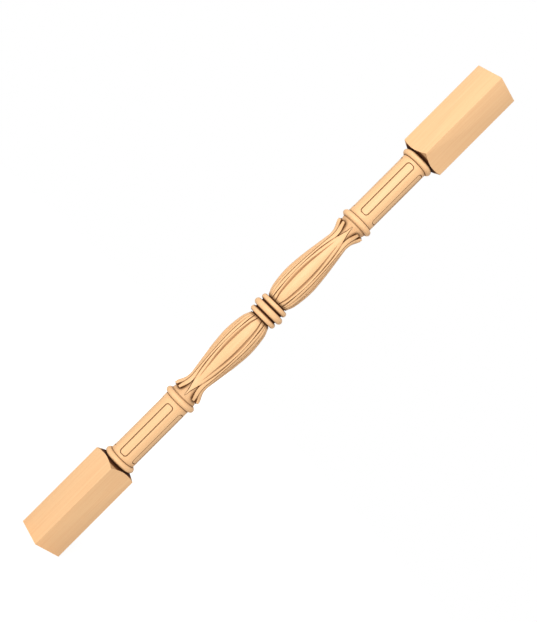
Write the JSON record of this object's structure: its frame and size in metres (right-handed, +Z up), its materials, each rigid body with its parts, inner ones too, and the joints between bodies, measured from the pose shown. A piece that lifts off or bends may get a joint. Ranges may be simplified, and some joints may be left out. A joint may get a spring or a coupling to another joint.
{
  "type": "stair baluster",
  "caption": "Carved and turned wooden stair baluster with square ends, fluted round columns and two leaf-carved bulbs meeting at a ringed middle.",
  "frame": {"origin": "centre of the bottom square face", "axes": "+Z up the baluster's length, X and Y square to its faces"},
  "size_m": [0.05, 0.05, 0.9],
  "materials": {
    "wood": "smooth sanded, unvarnished"
  },
  "bodies": {
    "root": {"baluster": "wood"}
  },
  "joints": []
}
